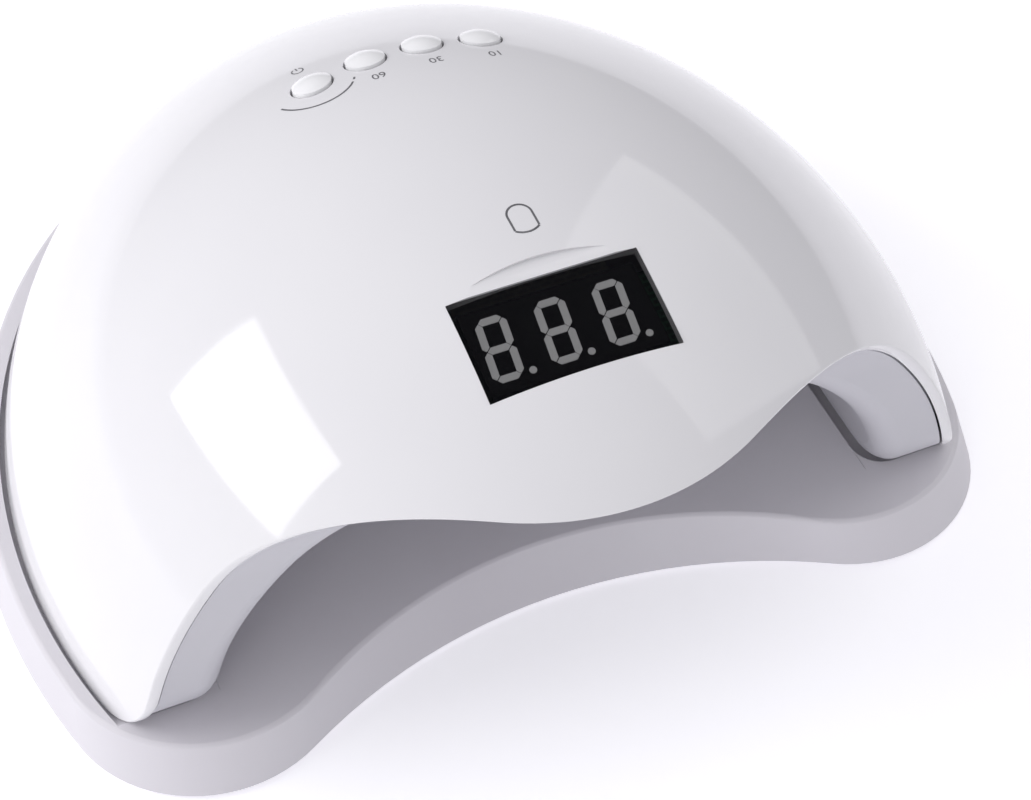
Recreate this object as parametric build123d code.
from build123d import *
import math
import os

# UV curing lamp: a glossy white dome over an arched hand tunnel, standing on a loose magnetic tray.
# Millimetres. +Z is up, -Y is the open front, the origin is on the table under the middle.

# ---- outer dome: a leaned ellipsoid -------------------------------------------------------
DOME_HALF_WIDTH = 105.5
DOME_HALF_DEPTH = 127.0
DOME_HALF_HEIGHT = 98.5
DOME_LEAN = -8.8          # degrees about X, the front end is higher
DOME_CENTRE_Y = -24.3
DOME_CENTRE_Z = -1.0
SHELL_WALL = 2.4

# ---- mouth and legs, side view ------------------------------------------------------------
LAMP_BASE_Z = 8.2
LEG_FRONT_Y = -76.2
VISOR_Z = 78.0
THROAT_RADIUS = 25.0
HEEL_RADIUS = 16.0

# ---- liner and hand tunnel ----------------------------------------------------------------
LINER_WALL = 2.0
LINER_RECESS = 0.8        # the liner's front stands this far behind the shell's edge
LINER_GAP = 0.5           # between the liner's rim and the inside of the shell
TUNNEL_HALF_WIDTH = 78.0
TUNNEL_HEIGHT = 62.0
TUNNEL_REAR_ROOM = 40.7   # from the tunnel's closed end to the back of the dome
TUNNEL_DOME_INSET = 13.0  # the tunnel's closed end keeps this far inside the dome
TUNNEL_LIP_RADIUS = 6.0   # rounded corner between tunnel and leg face

# ---- tray ---------------------------------------------------------------------------------
TRAY_SIDE_MARGIN = 7.0    # how far the tray stands out beside the dome
TRAY_REAR_MARGIN = 5.5    # and behind it
TRAY_FRONT_SETBACK = 8.2  # the middle of the hollowed front edge, behind the legs' front
TRAY_FRONT_RADIUS = 125.0
TRAY_LOBE_RADIUS = 31.0
TRAY_BOTTOM_Z = 1.2
TRAY_TOP_Z = 11.0
TRAY_DRAFT = 3.0          # the skirt leans in by this much
TRAY_FRONT_DRAFT = 8.0    # and by this much in the middle of the front
TRAY_TOP_FRONT_RADIUS = 105.0
TRAY_WALL = 2.4
TRAY_RIM_ROUND = 1.2
TRAY_SEAT_GAP = 0.3       # under the lamp's foot
TRAY_GROOVE_GAP = 1.2     # beside the lamp's foot

# ---- feet and magnets ---------------------------------------------------------------------
FOOT_RADIUS = 6.0
FOOT_HEIGHT = 2.0
FRONT_FOOT_INSET = (17.5, 14.2)    # in from the dome's side, back from the legs' front
REAR_FOOT_INSET = (35.5, 54.7)     # in from the dome's side, forward from its back
MAGNET_RADIUS = 4.0
MAGNET_HEIGHT = 2.0
MAGNET_CLEARANCE = 0.1
MAGNET_SKIN = 0.5
FRONT_MAGNET_INSET = (16.5, 38.2)
REAR_MAGNET_X = 17.0
REAR_MAGNET_INSET = 26.7

# ---- buttons ------------------------------------------------------------------------------
BUTTON_RADIUS = 4.4
BUTTON_GAP = 0.5
BUTTON_PROUD = 1.7
BUTTON_CROWN_RADIUS = 9.0
BUTTON_ARC_RADIUS = 88.0
BUTTON_ARC_BACK_Y = 19.7
BUTTON_STEP = 8.55        # degrees from one button to the next
BUTTON_TRAVEL = 0.8
COLLAR_WIDTH = 0.9
COLLAR_HEIGHT = 1.2
COLLAR_GAP = 1.4
PLUNGER_RADIUS = 1.6
STEM_TOP_DEPTH = 8.0      # below the dome, along the buttons' axis
STEM_RADIUS = 1.5
STEM_LENGTH = 2.2
STEM_CLEARANCE = 0.3
SWITCH_SIZE = 6.0
SWITCH_HEIGHT = 3.1
SWITCH_TOP_DEPTH = 8.95
BUTTON_BOARD_LENGTH = 78.0
BUTTON_BOARD_WIDTH = 11.0
BUTTON_POST_X = 34.0
BUTTON_COUNT = 4

# ---- display ------------------------------------------------------------------------------
DISPLAY_Y = -70.9
DISPLAY_DEPTH = 1.6       # the flat seat lies this far under the dome at its middle
DISPLAY_BROW = 4.0        # the seat's arched extension behind the window
DISPLAY_FRAME = 2.0       # thicker shell all round the window
WINDOW_LENGTH = 40.6
WINDOW_WIDTH = 22.6
WINDOW_THICKNESS = 1.6
WINDOW_GAP = 0.15
WINDOW_SUNK = 0.4
MODULE_LENGTH = 37.6
MODULE_WIDTH = 19.0
MODULE_HEIGHT = 8.0
MODULE_GAP = 0.5
SEGMENT_HEIGHT = 0.25
DIGIT_COUNT = 3
DIGIT_PITCH = 12.4
DIGIT_TALL = 14.4
DIGIT_WIDE = 6.6
SEGMENT_WIDE = 1.5
SEGMENT_GAP = 0.3
DOT_REACH = 2.4           # from a digit's right side to its dot
DIGIT_SLANT = 5.0
DISPLAY_BOARD_LENGTH = 62.0
DISPLAY_BOARD_WIDTH = 22.0
DISPLAY_POST_X = 27.0

# ---- boards, lamps and sensor -------------------------------------------------------------
BOARD_THICKNESS = 1.6
BOARD_GAP = 0.4           # between a board and the liner's wall
EMITTER_RADIUS = 2.5
EMITTER_CLEARANCE = 0.3
EMITTER_PROUD = 1.2
TOP_BOARD_SIZE = (44.0, 106.0)
TOP_BOARD_Y = -25.0
TOP_EMITTER_X = 14.0
TOP_EMITTER_Y = -20.0
EMITTER_ROW = 5
SIDE_BOARD_SIZE = (96.0, 15.0)
SIDE_ANGLE = 40.0         # place round the tunnel's arch, from the floor
SIDE_BOARD_Y = -22.0
EMITTER_PITCH = 20.0
REAR_EMITTER_COUNT = 4
REAR_BOARD_SIZE = (70.0, 12.0)
REAR_BOARD_Z = 36.0
REAR_EMITTER_PITCH = 18.0
SENSOR_X = 7.0
SENSOR_Y = -73.5
SENSOR_RADIUS = 1.5
BOARD_SCREW_REACH = 30.0  # light boards' screws, either side of the board's middle
REAR_SCREW_REACH = 32.0
CONTROL_BOARD_SIZE = (72.0, 20.0)
CONTROL_BOARD_INSET = 25.7         # from the back of the dome to the board's middle
CONTROL_BOARD_RISE = 4.0
CONTROL_SCREW_REACH = (32.0, 6.5)
CAPACITORS = [(-22.0, 2.0, 4.0, 10.5), (-12.5, 1.0, 3.15, 8.0)]   # x, y, radius, height
COIL = (13.0, 1.0, 9.0, 9.0, 5.0)                                  # x, y, length, width, height
DRIVER_CHIP = (23.5, 2.0, 6.0, 5.0, 1.6)
SOCKET_COUNT = 5
SOCKET_PITCH = 9.0
SOCKET_Y = -7.5
SOCKET_SIZE = (6.0, 3.6, 4.5)

# ---- power inlet --------------------------------------------------------------------------
JACK_SIZE = (9.0, 14.0, 11.0)
JACK_BORE_RADIUS = 3.15
JACK_BORE_DEPTH = 9.5
JACK_PIN_RADIUS = 1.05
JACK_PIN_SETBACK = 0.8
JACK_SUNK = 1.8
JACK_HOLE_GAP = 0.5
VENT_COUNT = 7
VENT_PITCH = 6.0
VENT_WIDTH = 2.2
VENT_HEIGHT = 14.0
VENT_Z = 52.0

# ---- screws -------------------------------------------------------------------------------
POST_RADIUS = 3.2
SCREW_RADIUS = 1.25
SCREW_HEAD_RADIUS = 2.4
SCREW_HEAD_HEIGHT = 1.4
SCREW_SLOT = 0.5
SCREW_LENGTH = 7.0
SHORT_SCREW_LENGTH = 3.2
SCREW_BOSS_RISE = 1.6     # the liner is thicker where the housing screws pass
SCREW_HEAD_SUNK = 0.2
SCREW_HOLE_CLEARANCE = 0.25
FRONT_SCREW_INSET = (14.0, 68.2)   # in from the dome's side, back from the legs' front
REAR_SCREW_X = 46.0
REAR_SCREW_INSET = 23.7

FAR = 200.0               # beyond everything
FUSE = 1.0                # how far a post runs into the wall that carries it

DOME_REAR_Y = DOME_CENTRE_Y + DOME_HALF_DEPTH
TUNNEL_REAR_Y = DOME_REAR_Y - TUNNEL_REAR_ROOM
TRAY_HALF_WIDTH = DOME_HALF_WIDTH + TRAY_SIDE_MARGIN
TRAY_HALF_DEPTH = DOME_HALF_DEPTH + TRAY_REAR_MARGIN
TRAY_FRONT_Y = LEG_FRONT_Y + TRAY_FRONT_SETBACK
CONTROL_BOARD_Y = DOME_REAR_Y - CONTROL_BOARD_INSET
FOOT_PLACES = [
    (DOME_HALF_WIDTH - FRONT_FOOT_INSET[0], LEG_FRONT_Y + FRONT_FOOT_INSET[1]),
    (DOME_HALF_WIDTH - REAR_FOOT_INSET[0], DOME_REAR_Y - REAR_FOOT_INSET[1]),
]
MAGNET_PLACES = [
    (DOME_HALF_WIDTH - FRONT_MAGNET_INSET[0], LEG_FRONT_Y + FRONT_MAGNET_INSET[1]),
    (REAR_MAGNET_X, DOME_REAR_Y - REAR_MAGNET_INSET),
]
HOUSING_SCREW_PLACES = [
    (DOME_HALF_WIDTH - FRONT_SCREW_INSET[0], LEG_FRONT_Y + FRONT_SCREW_INSET[1]),
    (REAR_SCREW_X, DOME_REAR_Y - REAR_SCREW_INSET),
]
LINER_BASE_Z = LAMP_BASE_Z + LINER_RECESS
LINER_FLOOR_Z = LINER_BASE_Z + LINER_WALL
DOME_SEMI_AXES = (DOME_HALF_WIDTH, DOME_HALF_DEPTH, DOME_HALF_HEIGHT)
DOME_CENTRE = (0, DOME_CENTRE_Y, DOME_CENTRE_Z)
SIDES = (-1, 1)


# ---- dome geometry ------------------------------------------------------------------------
def turn(vector, degrees):
    """Turn a vector about X."""
    return Vector(vector).rotate(Axis.X, degrees)


def dome_point(start, direction, inset=0.0):
    """Where a line from inside leaves the dome that is smaller by inset."""
    semi = [size - inset for size in DOME_SEMI_AXES]
    begin = turn(Vector(start) - Vector(DOME_CENTRE), -DOME_LEAN)
    run = turn(direction, -DOME_LEAN)
    p = [v / s for v, s in zip(tuple(begin), semi)]
    q = [v / s for v, s in zip(tuple(run), semi)]
    a = sum(v * v for v in q)
    b = sum(u * v for u, v in zip(p, q))
    c = sum(v * v for v in p) - 1
    distance = (-b + math.sqrt(b * b - a * c)) / a
    return Vector(start) + Vector(direction) * distance


def dome_normal(point):
    """Outward direction of the dome's surface."""
    local = turn(Vector(point) - Vector(DOME_CENTRE), -DOME_LEAN)
    slope = Vector(*[v / s**2 for v, s in zip(tuple(local), DOME_SEMI_AXES)])
    return turn(slope, DOME_LEAN).normalized()


def above(x, y, inset=0.0):
    return dome_point((x, y, 0), (0, 0, 1), inset)


def dome(inset):
    """The dome as a solid. The poles of the ball lie on X, under the base, so the top is one face."""
    ball = Rot(0, 90, 0) * Sphere(1)
    semi = tuple(size - inset for size in DOME_SEMI_AXES)
    return Pos(*DOME_CENTRE) * Rot(DOME_LEAN, 0, 0) * scale(ball, by=semi)


def corner(face, x, y):
    return face.vertices().sort_by_distance((x, y, 0))[0]


def body_block(inset):
    """Side profile of the lamp above the tray and behind the mouth, run through the full width."""
    front = LEG_FRONT_Y + inset
    base = LAMP_BASE_Z + inset
    visor = VISOR_Z + inset
    points = [(front, base), (FAR, base), (FAR, FAR), (-FAR, FAR), (-FAR, visor), (front, visor)]
    face = make_face(Polyline(*points, close=True))
    face = fillet(corner(face, front, base), HEEL_RADIUS - inset)
    face = fillet(corner(face, front, visor), THROAT_RADIUS + inset)
    return extrude(Plane.YZ * face, amount=FAR, both=True)


def box_between(low, high):
    size = [h - l for l, h in zip(low, high)]
    middle = [(l + h) / 2 for l, h in zip(low, high)]
    return Pos(*middle) * Box(*size)


def tunnel(grow):
    """The hand tunnel: an arch from the front, closed at the back inside the dome."""
    half = TUNNEL_HALF_WIDTH + grow
    arch = Ellipse(half, TUNNEL_HEIGHT + grow)
    floor = Pos(0, -TUNNEL_HEIGHT / 2) * Rectangle(2 * half, TUNNEL_HEIGHT)
    rear = TUNNEL_REAR_Y + grow
    profile = Plane(origin=(0, rear, LAMP_BASE_Z), x_dir=(1, 0, 0), z_dir=(0, -1, 0)) * (arch + floor)
    long_arch = extrude(profile, amount=FAR + rear)
    front_room = box_between((-FAR, -FAR, -FAR), (FAR, DOME_CENTRE_Y, FAR))
    return long_arch & (dome(TUNNEL_DOME_INSET - grow) + front_room)


def cylinder_on(plane, radius, low, high):
    """A round bar on a plane, from one height to another."""
    return plane * Pos(0, 0, (low + high) / 2) * Cylinder(radius, high - low)


def plate_on(plane, length, width, low, high):
    return plane * Pos(0, 0, (low + high) / 2) * Box(length, width, high - low)


def screw_on(plane, length):
    """A pan head screw. The plane is the seat under the head, the shank runs down its -Z."""
    shank = cylinder_on(plane, SCREW_RADIUS, -length, 0)
    head = cylinder_on(plane, SCREW_HEAD_RADIUS, 0, SCREW_HEAD_HEIGHT)
    cross_bottom = SCREW_HEAD_HEIGHT / 2
    slot = plate_on(plane, SCREW_HEAD_RADIUS, SCREW_SLOT, cross_bottom, SCREW_HEAD_HEIGHT)
    cross = plate_on(plane, SCREW_SLOT, SCREW_HEAD_RADIUS, cross_bottom, SCREW_HEAD_HEIGHT)
    return shank + head - slot - cross


def mirrored(places):
    return [(side * x, y) for x, y in places for side in SIDES]


def row(count, pitch):
    """Places of equal spacing about zero."""
    return [pitch * (index - (count - 1) / 2) for index in range(count)]


CONTROL_BOARD_TOP_Z = LINER_FLOOR_Z + CONTROL_BOARD_RISE + BOARD_THICKNESS


# ---- planes that parts are built on -------------------------------------------------------
button_middle = above(0, BUTTON_ARC_BACK_Y)
BUTTON_AXIS = dome_normal(button_middle)
BUTTON_PLANE = Plane(origin=button_middle, x_dir=(1, 0, 0), z_dir=BUTTON_AXIS)
BUTTON_BOARD_TOP = -SWITCH_TOP_DEPTH - SWITCH_HEIGHT
display_surface = above(0, DISPLAY_Y)
display_normal = dome_normal(display_surface)
display_seat = display_surface - display_normal * DISPLAY_DEPTH
DISPLAY_PLANE = Plane(origin=display_seat, x_dir=(1, 0, 0), z_dir=display_normal)
MODULE_TOP = -WINDOW_SUNK - WINDOW_THICKNESS - MODULE_GAP
DISPLAY_BOARD_TOP = MODULE_TOP - MODULE_HEIGHT


def button_points():
    """Surface points of the four buttons, left to right along a shallow arc."""
    points = []
    for degrees in row(BUTTON_COUNT, BUTTON_STEP):
        angle = math.radians(degrees)
        x = BUTTON_ARC_RADIUS * math.sin(angle)
        y = BUTTON_ARC_BACK_Y - BUTTON_ARC_RADIUS * (1 - math.cos(angle))
        points.append(above(x, y))
    return points


def button_plane(point):
    return Plane(origin=point, x_dir=(1, 0, 0), z_dir=BUTTON_AXIS)


def rear_facing(x, y, z):
    return Plane(origin=(x, y, z), x_dir=(1, 0, 0), z_dir=(0, 1, 0))


# ---- housing ------------------------------------------------------------------------------
def jack_plane():
    """Origin on the dome's back where the inlet's axis leaves it, +Z out to the rear."""
    height = CONTROL_BOARD_TOP_Z + JACK_SIZE[2] / 2
    return rear_facing(*dome_point((0, 0, height), (0, 1, 0)))


def post_from_shell(plane, bottom):
    """A screw post that hangs from the shell: down to bottom along the plane's axis."""
    bar = cylinder_on(plane, POST_RADIUS, bottom, FAR / 4)
    return bar & dome(SHELL_WALL - FUSE)


def display_seat_cut():
    """The flat seat: the window's outline with an arched brow behind it, cut down from the dome."""
    length = WINDOW_LENGTH + 2 * WINDOW_GAP
    width = WINDOW_WIDTH + 2 * WINDOW_GAP
    brow_radius = ((length / 2) ** 2 + DISPLAY_BROW**2) / (2 * DISPLAY_BROW)
    brow_centre = width / 2 + DISPLAY_BROW - brow_radius
    brow = Pos(0, brow_centre) * Circle(brow_radius) & Pos(0, width) * Rectangle(length, 2 * width)
    return extrude(DISPLAY_PLANE * (Rectangle(length, width) + brow), amount=FAR / 10)


def make_outer_shell():
    shell = (dome(0) - dome(SHELL_WALL)) & body_block(0)
    post_bottoms = []
    for side in SIDES:
        post_bottoms.append((BUTTON_PLANE * Pos(side * BUTTON_POST_X, 0, 0), BUTTON_BOARD_TOP))
        post_bottoms.append((DISPLAY_PLANE * Pos(side * DISPLAY_POST_X, 0, 0), DISPLAY_BOARD_TOP))
    for x, y in mirrored(HOUSING_SCREW_PLACES):
        post_bottoms.append((Plane((x, y, 0)), SCREW_BOSS_TOP_Z))
    for plane, bottom in post_bottoms:
        shell = shell + post_from_shell(plane, bottom)
    pad_size = (WINDOW_LENGTH + 2 * DISPLAY_FRAME, WINDOW_WIDTH + 2 * DISPLAY_FRAME)
    pad = plate_on(DISPLAY_PLANE, *pad_size, MODULE_TOP, 0)
    shell = shell + (pad & dome(FUSE / 2))
    for plane, bottom in post_bottoms:
        shell = shell - cylinder_on(plane, SCREW_RADIUS, bottom, bottom + SCREW_LENGTH - BOARD_THICKNESS)
    shell = shell - display_seat_cut()
    window = (WINDOW_LENGTH + 2 * WINDOW_GAP, WINDOW_WIDTH + 2 * WINDOW_GAP)
    shell = shell - plate_on(DISPLAY_PLANE, *window, MODULE_TOP + MODULE_GAP, FAR / 20)
    opening = (MODULE_LENGTH + 2 * MODULE_GAP, MODULE_WIDTH + 2 * MODULE_GAP)
    shell = shell - plate_on(DISPLAY_PLANE, *opening, DISPLAY_BOARD_TOP, FAR / 20)
    for point in button_points():
        plane = button_plane(point)
        shell = shell - cylinder_on(plane, BUTTON_RADIUS + BUTTON_GAP, -STEM_TOP_DEPTH, FAR / 20)
    hole = (JACK_SIZE[0] + 2 * JACK_HOLE_GAP, JACK_SIZE[2] + 2 * JACK_HOLE_GAP)
    shell = shell - plate_on(jack_plane(), *hole, -JACK_SIZE[1] / 2, FAR / 20)
    for x in row(VENT_COUNT, VENT_PITCH):
        slot = SlotOverall(VENT_HEIGHT, VENT_WIDTH, rotation=90)
        shell = shell - extrude(rear_facing(x, 0, VENT_Z) * slot, amount=FAR)
    return shell


def lip_edges(solid, grow):
    """Edges of the arch: its mouth, its feet along the floor and its joint with the closed end."""
    half = TUNNEL_HALF_WIDTH + grow
    tall = TUNNEL_HEIGHT + grow
    found = []
    for edge in solid.edges():
        p = edge.position_at(0.5)
        beside = p.Z < LINER_FLOOR_Z + 0.1 and abs(abs(p.X) - half) < 0.1
        on_arch = abs((p.X / half) ** 2 + ((p.Z - LAMP_BASE_Z) / tall) ** 2 - 1) < 0.002
        if beside or on_arch:
            found.append(edge)
    return found


def liner_body(skin):
    """The room behind the mouth, outside the tunnel, with a rounded lip. skin 0 is the outer face."""
    reach = SHELL_WALL + LINER_GAP if skin == 0 else SHELL_WALL
    body = (dome(reach) & body_block(LINER_RECESS + skin)) - tunnel(skin)
    return fillet(lip_edges(body, skin), TUNNEL_LIP_RADIUS - skin)


def tunnel_hole(plane, radius):
    """A hole through the tunnel's wall for a lamp or sensor of this radius."""
    return cylinder_on(plane, radius + EMITTER_CLEARANCE, -LINER_WALL, 2 * LINER_WALL)


def make_inner_liner():
    """One skin: tunnel, leg fronts, visor underside and foot flange."""
    outer = liner_body(0)
    liner = outer - liner_body(LINER_WALL)
    for plane in board_post_planes():
        post = cylinder_on(plane, POST_RADIUS, -LINER_WALL / 2, BOARD_GAP + LINER_WALL / 2)
        liner = liner + post
    for x, y in control_screw_places():
        post_top = LINER_FLOOR_Z + CONTROL_BOARD_RISE
        liner = liner + cylinder_on(Plane((x, y, 0)), POST_RADIUS, LINER_FLOOR_Z - FUSE, post_top)
    for x, y in mirrored(HOUSING_SCREW_PLACES):
        boss = cylinder_on(Plane((x, y, 0)), POST_RADIUS + FUSE, LINER_FLOOR_Z - FUSE, SCREW_BOSS_TOP_Z)
        liner = liner + (boss & outer)
    short_screw_tip = BOARD_SEAT + BOARD_THICKNESS - SHORT_SCREW_LENGTH
    for plane in board_post_planes():
        liner = liner - cylinder_on(plane, SCREW_RADIUS, short_screw_tip, FAR / 20)
    for x, y in control_screw_places():
        top = CONTROL_BOARD_TOP_Z
        liner = liner - cylinder_on(Plane((x, y, 0)), SCREW_RADIUS, top - SCREW_LENGTH, top)
    for x, y in mirrored(HOUSING_SCREW_PLACES):
        foot = Plane((x, y, 0))
        liner = liner - cylinder_on(foot, SCREW_RADIUS + SCREW_HOLE_CLEARANCE, 0, SCREW_BOSS_TOP_Z + FUSE)
        liner = liner - cylinder_on(foot, SCREW_HEAD_RADIUS + SCREW_HOLE_CLEARANCE, 0, SCREW_SEAT_Z)
    for plane in top_planes() + side_planes(-1) + side_planes(1) + rear_planes():
        liner = liner - tunnel_hole(plane, EMITTER_RADIUS)
    for plane in sensor_planes():
        liner = liner - tunnel_hole(plane, SENSOR_RADIUS)
    return liner


# ---- places of lamps and boards: each plane starts on the tunnel's face, +Z into the housing -
def arch_height(x):
    return LAMP_BASE_Z + TUNNEL_HEIGHT * math.sqrt(1 - (x / TUNNEL_HALF_WIDTH) ** 2)


def upright(x, y):
    return Plane(origin=(x, y, arch_height(x)), x_dir=(1, 0, 0), z_dir=(0, 0, 1))


def side_plane(side, y):
    """A place on the arch, square to it. Local X runs along the tunnel."""
    angle = math.radians(SIDE_ANGLE)
    x = TUNNEL_HALF_WIDTH * math.cos(angle)
    z = TUNNEL_HEIGHT * math.sin(angle)
    out = Vector(side * x / TUNNEL_HALF_WIDTH**2, 0, z / TUNNEL_HEIGHT**2)
    return Plane(origin=(side * x, y, LAMP_BASE_Z + z), x_dir=(0, 1, 0), z_dir=out)


def rear_plane(x):
    return rear_facing(x, TUNNEL_REAR_Y, REAR_BOARD_Z)


def top_planes():
    ys = [TOP_EMITTER_Y + y for y in row(EMITTER_ROW, EMITTER_PITCH)]
    return [upright(side * TOP_EMITTER_X, y) for side in SIDES for y in ys]


def side_planes(side):
    return [side_plane(side, SIDE_BOARD_Y + y) for y in row(EMITTER_ROW, EMITTER_PITCH)]


def rear_planes():
    return [rear_plane(x) for x in row(REAR_EMITTER_COUNT, REAR_EMITTER_PITCH)]


def sensor_planes():
    return [upright(side * SENSOR_X, SENSOR_Y) for side in SIDES]


BOARD_SEAT = LINER_WALL + BOARD_GAP
SCREW_BOSS_TOP_Z = LINER_FLOOR_Z + SCREW_BOSS_RISE
SCREW_SEAT_Z = LINER_BASE_Z + SCREW_HEAD_HEIGHT + SCREW_HEAD_SUNK


def board_post_planes():
    """Screw places of the light boards, at the height of the tunnel's face."""
    planes = [upright(0, TOP_BOARD_Y + y) for y in (-BOARD_SCREW_REACH, BOARD_SCREW_REACH)]
    for side in SIDES:
        planes += [side_plane(side, SIDE_BOARD_Y + y) for y in (-BOARD_SCREW_REACH, BOARD_SCREW_REACH)]
    return planes + [rear_plane(side * REAR_SCREW_REACH) for side in SIDES]


def control_screw_places():
    reach_x, reach_y = CONTROL_SCREW_REACH
    return [(sx * reach_x, CONTROL_BOARD_Y + sy * reach_y) for sx in SIDES for sy in SIDES]


# ---- tray ---------------------------------------------------------------------------------
def tray_outline(draft, front_draft, front_radius):
    """Egg-shaped plan with a hollowed front between two round lobes."""
    egg = Pos(0, DOME_CENTRE_Y) * Ellipse(TRAY_HALF_WIDTH - draft, TRAY_HALF_DEPTH - draft)
    hollow = Pos(0, TRAY_FRONT_Y + front_draft - front_radius) * Circle(front_radius)
    face = (egg - hollow).face()
    tips = [v for v in face.vertices() if v.Y < TRAY_FRONT_Y]
    return fillet(tips, TRAY_LOBE_RADIUS)


def lip_corner(side):
    """The tray stays full where the liner's rounded lip leaves the corner of the groove free."""
    reach = TUNNEL_LIP_RADIUS + TRAY_GROOVE_GAP
    heel = HEEL_RADIUS + TRAY_SEAT_GAP
    heel_left = heel - (TRAY_TOP_Z - TRAY_SEAT_Z)
    front = LEG_FRONT_Y - TRAY_SEAT_GAP
    round_y = front + heel - math.sqrt(heel**2 - heel_left**2) + reach
    inner = side * (TUNNEL_HALF_WIDTH - TRAY_GROOVE_GAP)
    outer = inner + side * reach
    block = box_between((min(inner, outer), front, 0), (max(inner, outer), round_y, TRAY_TOP_Z))
    return block - cylinder_on(Plane((outer, round_y, 0)), reach, 0, TRAY_TOP_Z)


def make_base_tray():
    foot_outline = tray_outline(0, 0, TRAY_FRONT_RADIUS)
    rim_outline = tray_outline(TRAY_DRAFT, TRAY_FRONT_DRAFT, TRAY_TOP_FRONT_RADIUS)
    tray = loft([Pos(0, 0, TRAY_BOTTOM_Z) * foot_outline, Pos(0, 0, TRAY_TOP_Z) * rim_outline])
    tray = fillet(tray.faces().sort_by(Axis.Z)[-1].edges(), TRAY_RIM_ROUND)
    hollow = tray_outline(TRAY_WALL + TRAY_DRAFT / 2, TRAY_WALL + TRAY_FRONT_DRAFT / 2, TRAY_FRONT_RADIUS)
    tray = tray - extrude(hollow, amount=TRAY_FLOOR_Z)
    under_rim = tray_outline(TRAY_WALL + TRAY_DRAFT, TRAY_WALL + TRAY_FRONT_DRAFT, TRAY_TOP_FRONT_RADIUS)
    raised_room = extrude(under_rim, amount=TRAY_TOP_Z - TRAY_WALL)
    tray = tray - (raised_room & tunnel(-TRAY_GROOVE_GAP - TRAY_WALL))
    lamp_foot = (dome(-TRAY_GROOVE_GAP) & body_block(-TRAY_SEAT_GAP)) - tunnel(-TRAY_GROOVE_GAP)
    tray = tray - (lamp_foot - lip_corner(-1) - lip_corner(1))
    for x, y in mirrored(FOOT_PLACES):
        socket = FOOT_RADIUS + TRAY_WALL / 2
        tray = tray + cylinder_on(Plane((x, y, 0)), socket, TRAY_BOTTOM_Z, TRAY_FLOOR_Z + FUSE)
    for x, y in mirrored(FOOT_PLACES):
        tray = tray - cylinder_on(Plane((x, y, 0)), FOOT_RADIUS + MAGNET_CLEARANCE, 0, FOOT_HEIGHT)
    for x, y in mirrored(MAGNET_PLACES):
        tray = tray - cylinder_on(Plane((x, y, 0)), MAGNET_RADIUS + MAGNET_CLEARANCE, 0, TRAY_MAGNET_TOP_Z)
    return tray


TRAY_SEAT_Z = LAMP_BASE_Z - TRAY_SEAT_GAP
TRAY_FLOOR_Z = TRAY_SEAT_Z - TRAY_WALL
TRAY_MAGNET_TOP_Z = TRAY_SEAT_Z - MAGNET_SKIN


def discs(places, radius, low, high):
    return [cylinder_on(Plane((x, y, 0)), radius, low, high) for x, y in mirrored(places)]


def magnets(bottom):
    return discs(MAGNET_PLACES, MAGNET_RADIUS, bottom, bottom + MAGNET_HEIGHT)


# ---- buttons ------------------------------------------------------------------------------
def make_button(point):
    """A crowned cap with a collar under the shell and a plunger down to its switch."""
    plane = button_plane(point)
    depth = (Vector(point) - button_middle).dot(BUTTON_AXIS)
    collar_top = -SHELL_WALL - COLLAR_GAP
    collar_bottom = collar_top - COLLAR_HEIGHT
    cap = cylinder_on(plane, BUTTON_RADIUS, collar_bottom, FAR / 20)
    crown_centre = Vector(point) + dome_normal(point) * (BUTTON_PROUD - BUTTON_CROWN_RADIUS)
    cap = cap & (Pos(*crown_centre) * Sphere(BUTTON_CROWN_RADIUS))
    collar = cylinder_on(plane, BUTTON_RADIUS + COLLAR_WIDTH, collar_bottom, collar_top)
    plunger = cylinder_on(plane, PLUNGER_RADIUS, -STEM_TOP_DEPTH - depth, collar_bottom)
    return cap + collar + plunger


def switch_plane(point):
    """A switch's place on the buttons' common plane, under its button."""
    local = BUTTON_PLANE.to_local_coords(Vector(point))
    return BUTTON_PLANE * Pos(local.X, local.Y, 0)


def make_switch_stem(point):
    return cylinder_on(switch_plane(point), STEM_RADIUS, -STEM_TOP_DEPTH - STEM_LENGTH, -STEM_TOP_DEPTH)


def make_switch_body(point):
    plane = switch_plane(point)
    body = plate_on(plane, SWITCH_SIZE, SWITCH_SIZE, BUTTON_BOARD_TOP, -SWITCH_TOP_DEPTH)
    bore_bottom = -STEM_TOP_DEPTH - STEM_LENGTH - BUTTON_TRAVEL - STEM_CLEARANCE
    return body - cylinder_on(plane, STEM_RADIUS + STEM_CLEARANCE, bore_bottom, 0)


def make_button_board():
    low = BUTTON_BOARD_TOP - BOARD_THICKNESS
    board = plate_on(BUTTON_PLANE, BUTTON_BOARD_LENGTH, BUTTON_BOARD_WIDTH, low, BUTTON_BOARD_TOP)
    return drill(board, [BUTTON_PLANE * Pos(side * BUTTON_POST_X, 0, low - FUSE) for side in SIDES])


# ---- display ------------------------------------------------------------------------------
def make_display_window():
    underside = -WINDOW_SUNK - WINDOW_THICKNESS
    return plate_on(DISPLAY_PLANE, WINDOW_LENGTH, WINDOW_WIDTH, underside, -WINDOW_SUNK)


def make_display_module():
    return plate_on(DISPLAY_PLANE, MODULE_LENGTH, MODULE_WIDTH, DISPLAY_BOARD_TOP, MODULE_TOP)


def segment_bar(length, x, y, upright_bar):
    """Corners of a bar with pointed ends, in order round it."""
    half = length / 2
    w = SEGMENT_WIDE / 2
    points = [(-half, 0), (w - half, w), (half - w, w), (half, 0), (half - w, -w), (w - half, -w)]
    if upright_bar:
        points = [(-v, u) for u, v in points]
    return [(x + u, y + v) for u, v in points]


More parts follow.
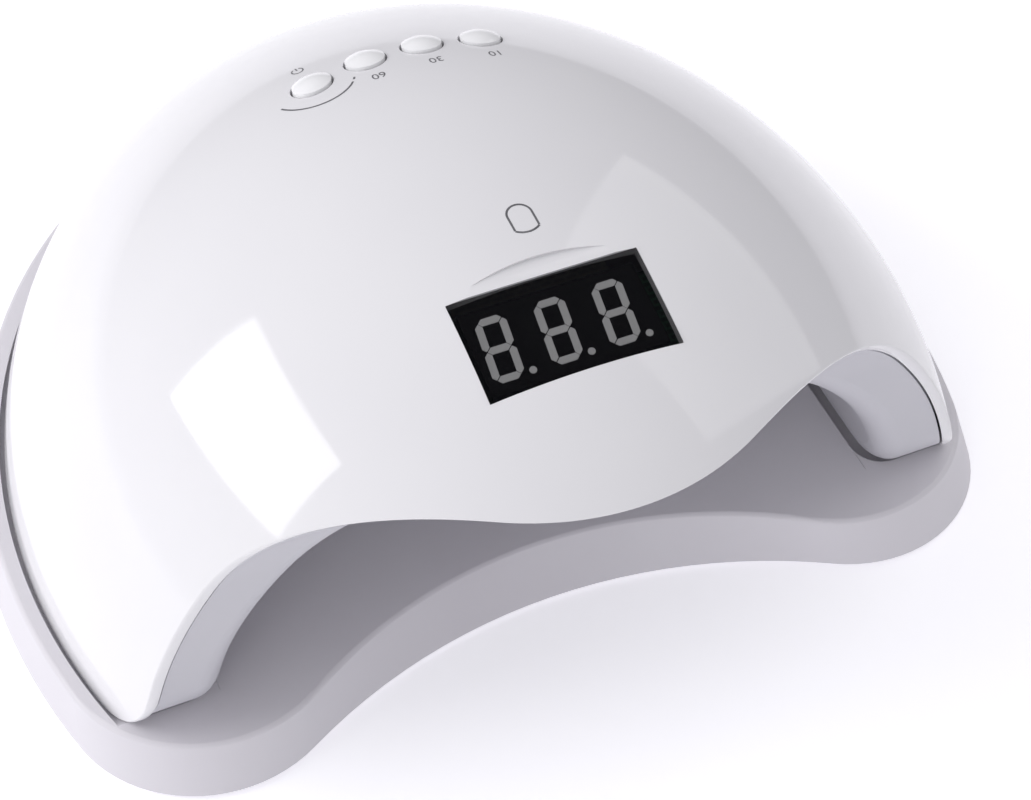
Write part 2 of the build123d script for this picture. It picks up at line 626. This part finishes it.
def make_display_segments():
    """Seven bars and a dot for each digit, leaned by a shear, as thin tiles on the module."""
    wide = DIGIT_WIDE - SEGMENT_WIDE
    tall = (DIGIT_TALL - SEGMENT_WIDE) / 2
    lean = math.tan(math.radians(DIGIT_SLANT))
    tiles = []
    for shift in row(DIGIT_COUNT, DIGIT_PITCH):
        middle = shift - DOT_REACH / 2
        bars = [segment_bar(wide - SEGMENT_GAP, 0, y, False) for y in (-tall, 0, tall)]
        for sx, sy in [(sx, sy) for sx in SIDES for sy in SIDES]:
            bars.append(segment_bar(tall - SEGMENT_GAP, sx * wide / 2, sy * tall / 2, True))
        for bar in bars:
            corners = [(x + lean * y + middle, y) for x, y in bar]
            tiles.append(lift_tile(make_face(Polyline(*corners, close=True))))
        dot = Pos(middle + wide / 2 + DOT_REACH - lean * tall, -tall) * Circle(SEGMENT_WIDE / 2)
        tiles.append(lift_tile(dot))
    return tiles


def lift_tile(face):
    return extrude(DISPLAY_PLANE * Pos(0, 0, MODULE_TOP) * face, amount=SEGMENT_HEIGHT)


def make_display_board():
    low = DISPLAY_BOARD_TOP - BOARD_THICKNESS
    board = plate_on(DISPLAY_PLANE, DISPLAY_BOARD_LENGTH, DISPLAY_BOARD_WIDTH, low, DISPLAY_BOARD_TOP)
    return drill(board, [DISPLAY_PLANE * Pos(side * DISPLAY_POST_X, 0, low - FUSE) for side in SIDES])


# ---- light boards -------------------------------------------------------------------------
def emitter(plane, seat, radius):
    """A round-nosed lamp from its board through the tunnel's wall."""
    centre = radius - EMITTER_PROUD
    barrel = cylinder_on(plane, radius, centre, seat)
    nose = cylinder_on(plane, radius, -radius, centre) & (plane * Pos(0, 0, centre) * Sphere(radius))
    return barrel + nose


def light_board(plane, size):
    return plate_on(plane, *size, BOARD_SEAT, BOARD_SEAT + BOARD_THICKNESS)


def drill(board, planes):
    """Screw holes that start at each plane and run along its +Z."""
    for plane in planes:
        board = board - cylinder_on(plane, SCREW_RADIUS + SCREW_HOLE_CLEARANCE, 0, FAR / 10)
    return board


def make_top_board():
    return drill(light_board(upright(0, TOP_BOARD_Y), TOP_BOARD_SIZE), board_post_planes()[:2])


def make_side_board(side):
    screws = board_post_planes()[2:4] if side < 0 else board_post_planes()[4:6]
    return drill(light_board(side_plane(side, SIDE_BOARD_Y), SIDE_BOARD_SIZE), screws)


def make_rear_board():
    return drill(light_board(rear_plane(0), REAR_BOARD_SIZE), board_post_planes()[6:])


def top_emitters(planes, radius):
    """Lamps under the flat top board: each reaches from the arch up to the board."""
    seat_z = LAMP_BASE_Z + TUNNEL_HEIGHT + BOARD_SEAT
    return [emitter(plane, seat_z - plane.origin.Z, radius) for plane in planes]


# ---- control board and inlet --------------------------------------------------------------
def make_control_board():
    middle = Plane((0, CONTROL_BOARD_Y, CONTROL_BOARD_TOP_Z))
    board = plate_on(middle, *CONTROL_BOARD_SIZE, -BOARD_THICKNESS, 0)
    under = CONTROL_BOARD_TOP_Z - BOARD_THICKNESS - FUSE
    return drill(board, [Plane((x, y, under)) for x, y in control_screw_places()])


def make_control_parts():
    """Capacitors, coil, driver chip and plug sockets that stand on the control board."""
    seat = Plane((0, CONTROL_BOARD_Y, CONTROL_BOARD_TOP_Z))
    pieces = []
    for x, y, radius, height in CAPACITORS:
        pieces.append(cylinder_on(seat * Pos(x, y, 0), radius, 0, height))
    for x, y, length, width, height in (COIL, DRIVER_CHIP):
        pieces.append(plate_on(seat * Pos(x, y, 0), length, width, 0, height))
    length, width, height = SOCKET_SIZE
    for x in row(SOCKET_COUNT, SOCKET_PITCH):
        pieces.append(plate_on(seat * Pos(x, SOCKET_Y, 0), length, width, 0, height))
    return pieces


def make_jack_body():
    plane = jack_plane()
    body = plate_on(plane, JACK_SIZE[0], JACK_SIZE[2], -JACK_SUNK - JACK_SIZE[1], -JACK_SUNK)
    return body - cylinder_on(plane, JACK_BORE_RADIUS, -JACK_SUNK - JACK_BORE_DEPTH, 0)


def make_jack_pin():
    low = -JACK_SUNK - JACK_BORE_DEPTH
    return cylinder_on(jack_plane(), JACK_PIN_RADIUS, low, -JACK_SUNK - JACK_PIN_SETBACK)


# ---- screws -------------------------------------------------------------------------------
def make_housing_screws():
    screws = []
    for x, y in mirrored(HOUSING_SCREW_PLACES):
        head_down = Plane(origin=(x, y, SCREW_SEAT_Z), x_dir=(1, 0, 0), z_dir=(0, 0, -1))
        screws.append(screw_on(head_down, SCREW_LENGTH))
    return screws


def make_light_board_screws():
    under_head = Pos(0, 0, BOARD_SEAT + BOARD_THICKNESS)
    return [screw_on(plane * under_head, SHORT_SCREW_LENGTH) for plane in board_post_planes()]


def make_control_board_screws():
    places = control_screw_places()
    return [screw_on(Plane((x, y, CONTROL_BOARD_TOP_Z)), SCREW_LENGTH) for x, y in places]


def make_panel_board_screws():
    """Screws of the button board and the display board, driven up into the shell's posts."""
    screws = []
    for side in SIDES:
        for plane, reach, top in (
            (BUTTON_PLANE, BUTTON_POST_X, BUTTON_BOARD_TOP),
            (DISPLAY_PLANE, DISPLAY_POST_X, DISPLAY_BOARD_TOP),
        ):
            under = plane * Pos(side * reach, 0, top - BOARD_THICKNESS) * Rot(180, 0, 0)
            screws.append(screw_on(under, SCREW_LENGTH))
    return screws


parts = {
    "outer_shell": [make_outer_shell()],
    "inner_liner": [make_inner_liner()],
    "base_tray": [make_base_tray()],
    "tray_feet": discs(FOOT_PLACES, FOOT_RADIUS, 0, FOOT_HEIGHT),
    "tray_magnets": magnets(TRAY_MAGNET_TOP_Z - MAGNET_HEIGHT),
    "lamp_magnets": magnets(LINER_FLOOR_Z),
    "button_board": [make_button_board()],
    "switch_bodies": [make_switch_body(point) for point in button_points()],
    "display_window": [make_display_window()],
    "display_module": [make_display_module()],
    "display_segments": make_display_segments(),
    "display_board": [make_display_board()],
    "top_light_board": [make_top_board()],
    "left_light_board": [make_side_board(-1)],
    "right_light_board": [make_side_board(1)],
    "rear_light_board": [make_rear_board()],
    "top_emitters": top_emitters(top_planes(), EMITTER_RADIUS),
    "left_emitters": [emitter(plane, BOARD_SEAT, EMITTER_RADIUS) for plane in side_planes(-1)],
    "right_emitters": [emitter(plane, BOARD_SEAT, EMITTER_RADIUS) for plane in side_planes(1)],
    "rear_emitters": [emitter(plane, BOARD_SEAT, EMITTER_RADIUS) for plane in rear_planes()],
    "hand_sensor_lamp": top_emitters(sensor_planes()[:1], SENSOR_RADIUS),
    "hand_sensor_eye": top_emitters(sensor_planes()[1:], SENSOR_RADIUS),
    "control_board": [make_control_board()],
    "control_board_parts": make_control_parts(),
    "power_jack_body": [make_jack_body()],
    "power_jack_pin": [make_jack_pin()],
    "housing_screws": make_housing_screws(),
    "light_board_screws": make_light_board_screws(),
    "control_board_screws": make_control_board_screws(),
    "panel_board_screws": make_panel_board_screws(),
}
BUTTON_NAMES = ("power", "60s", "30s", "10s")
for button_name, button_point in zip(BUTTON_NAMES, button_points()):
    parts[f"button_{button_name}"] = [make_button(button_point)]
    parts[f"switch_stem_{button_name}"] = [make_switch_stem(button_point)]

os.makedirs("parts", exist_ok=True)
for name, solids in parts.items():
    shape = solids[0] if len(solids) == 1 else Compound(children=solids)
    export_step(shape, f"parts/{name}.step")
